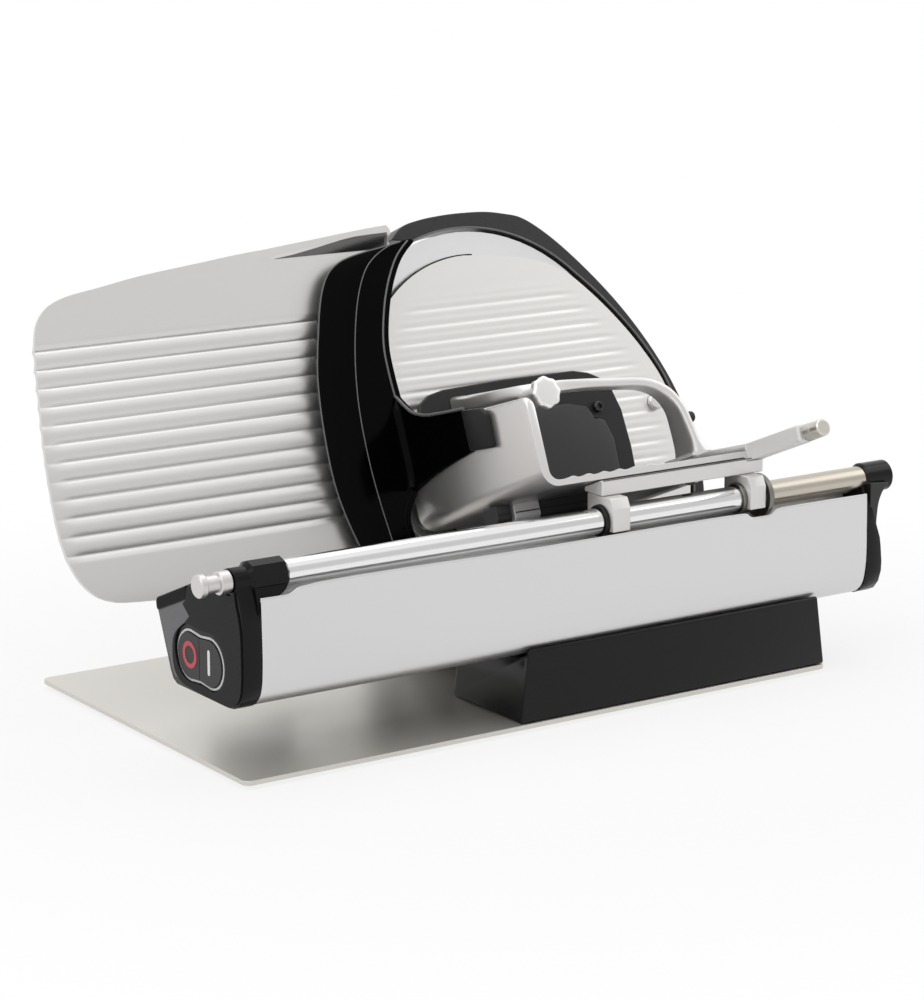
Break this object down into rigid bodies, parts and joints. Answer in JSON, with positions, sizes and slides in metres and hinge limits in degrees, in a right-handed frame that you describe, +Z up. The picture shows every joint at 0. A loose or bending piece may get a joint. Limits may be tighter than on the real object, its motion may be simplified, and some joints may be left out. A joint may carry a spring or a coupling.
{
  "type": "meat slicer",
  "caption": "Gravity-feed meat slicer: a leaning round blade with ring guard and cover, ribbed gauge plate, sliding carriage with pusher, on a beam above a flat base plate.",
  "frame": {"origin": "centre of the overall bounding box in plan, at the underside of the feet", "axes": "+X along the beam, from the operator's end to the far end; +Y from the front panel back to the motor; +Z up"},
  "size_m": [0.5134, 0.3008, 0.2775],
  "materials": {
    "steel": "brushed",
    "chrome": "polished",
    "blade": "ground and polished",
    "gauge": "satin anodised",
    "cover": "satin anodised",
    "cast_silver": "cast, bead blasted and anodised",
    "cast_grey": "as cast",
    "panel": "satin anodised sheet",
    "black_gloss": "gloss",
    "black_matte": "fine texture",
    "pad_grey": "fine texture",
    "rubber": "moulded",
    "knob_silver": "turned",
    "switch_rim": "satin",
    "switch_black": "satin",
    "motor": "painted"
  },
  "bodies": {
    "frame": {"base_plate": "steel", "foot_front_left": "rubber", "foot_front_right": "rubber", "foot_rear_left": "rubber", "foot_rear_right": "rubber", "pedestal": "black_gloss", "beam": "cast_grey", "front_panel": "panel", "operator_cap": "black_gloss", "far_cap": "black_gloss", "slide_rod": "chrome", "switch_bezel": "switch_rim", "switch_body": "black_matte", "gauge_guide": "cast_grey", "roller_track": "steel", "bridge": "cast_grey", "blade_frame": "cast_grey", "ring_guard": "black_gloss", "blade_cover": "cover", "blade_axle": "steel", "front_bearing": "steel", "rear_bearing": "steel", "motor": "motor", "drive_belt": "rubber", "drive_cover": "black_matte", "rear_stand": "black_matte", "slice_deflector": "steel"},
    "start": {"start_button": "switch_black"},
    "stop": {"stop_button": "switch_black"},
    "knob": {"thickness_knob": "knob_silver"},
    "idler": {"idler_gear": "black_matte"},
    "gauge": {"gauge_plate": "gauge", "gauge_carrier": "cast_grey", "thickness_link": "cast_grey"},
    "blade_rotor": {"blade": "blade", "blade_pulley": "cast_grey"},
    "motor_rotor": {"motor_pulley": "steel"},
    "cover_screw": {"cover_knob": "knob_silver"},
    "carriage": {"tray": "cast_silver", "carriage_bar": "cast_silver", "clamp_left": "cast_silver", "clamp_right": "cast_silver", "bush_left": "black_matte", "bush_right": "black_matte", "roller_fork": "cast_silver", "hand_guard": "black_gloss", "guard_bracket": "black_matte", "rail_rod": "chrome"},
    "roller": {"guide_roller": "black_matte"},
    "pusher": {"pusher_hub": "cast_silver", "pusher_arm": "cast_silver", "pusher_plate": "black_matte", "plate_pad": "pad_grey", "bumper": "rubber"},
    "clamp_screw": {"lobe_knob": "knob_silver"}
  },
  "joints": [
    {"name": "carriage_slide", "type": "slide", "parent": "frame", "child": "carriage", "axis": [1, 0, 0], "range_m": [-0.215, 0.075]},
    {"name": "roller_spin", "type": "hinge", "parent": "carriage", "child": "roller", "pos_m": [0.07125, -0.01338, 0.10631], "axis": [0, -0.9239, 0.3827], "continuous": true},
    {"name": "pusher_slide", "type": "slide", "parent": "carriage", "child": "pusher", "axis": [0, -0.9239, 0.3827], "range_m": [0, 0.088]},
    {"name": "clamp_turn", "type": "hinge", "parent": "pusher", "child": "clamp_screw", "pos_m": [0.03905, -0.0135, 0.1844], "axis": [0, -0.9239, 0.3827], "range_deg": [0, 120]},
    {"name": "cover_screw_turn", "type": "hinge", "parent": "frame", "child": "cover_screw", "pos_m": [0.19425, 0.07433, 0.14715], "axis": [0, -0.9239, 0.3827], "range_deg": [0, 180]},
    {"name": "blade_spin", "type": "hinge", "parent": "frame", "child": "blade_rotor", "pos_m": [0.06925, 0.08324, 0.16186], "axis": [0, -0.9239, 0.3827], "continuous": true},
    {"name": "motor_spin", "type": "hinge", "parent": "frame", "child": "motor_rotor", "pos_m": [0.06925, 0.06454, 0.09059], "axis": [0, -0.9239, 0.3827], "continuous": true},
    {"name": "gauge_slide", "type": "slide", "parent": "frame", "child": "gauge", "axis": [0, 0.9239, -0.3827], "range_m": [0, 0.013]},
    {"name": "knob_turn", "type": "hinge", "parent": "frame", "child": "knob", "pos_m": [-0.24975, -0.08661, 0.1193], "axis": [-1, 0, 0], "range_deg": [0, 166.2]},
    {"name": "idler_turn", "type": "hinge", "parent": "frame", "child": "idler", "pos_m": [-0.22015, -0.07707, 0.11211], "axis": [1, 0, 0], "range_deg": [0, 105]},
    {"name": "start_press", "type": "slide", "parent": "frame", "child": "start", "axis": [1, 0, 0], "range_m": [0, 0.0015], "stiffness_N_per_m": 400},
    {"name": "stop_press", "type": "slide", "parent": "frame", "child": "stop", "axis": [1, 0, 0], "range_m": [0, 0.0015], "stiffness_N_per_m": 400}
  ],
  "couplings": [
    {"joint": "knob_turn", "follows": "gauge_slide", "rad_per_m": 223},
    {"joint": "idler_turn", "follows": "gauge_slide", "rad_per_m": 140.85},
    {"joint": "motor_spin", "follows": "blade_spin", "ratio": 2.9091}
  ]
}
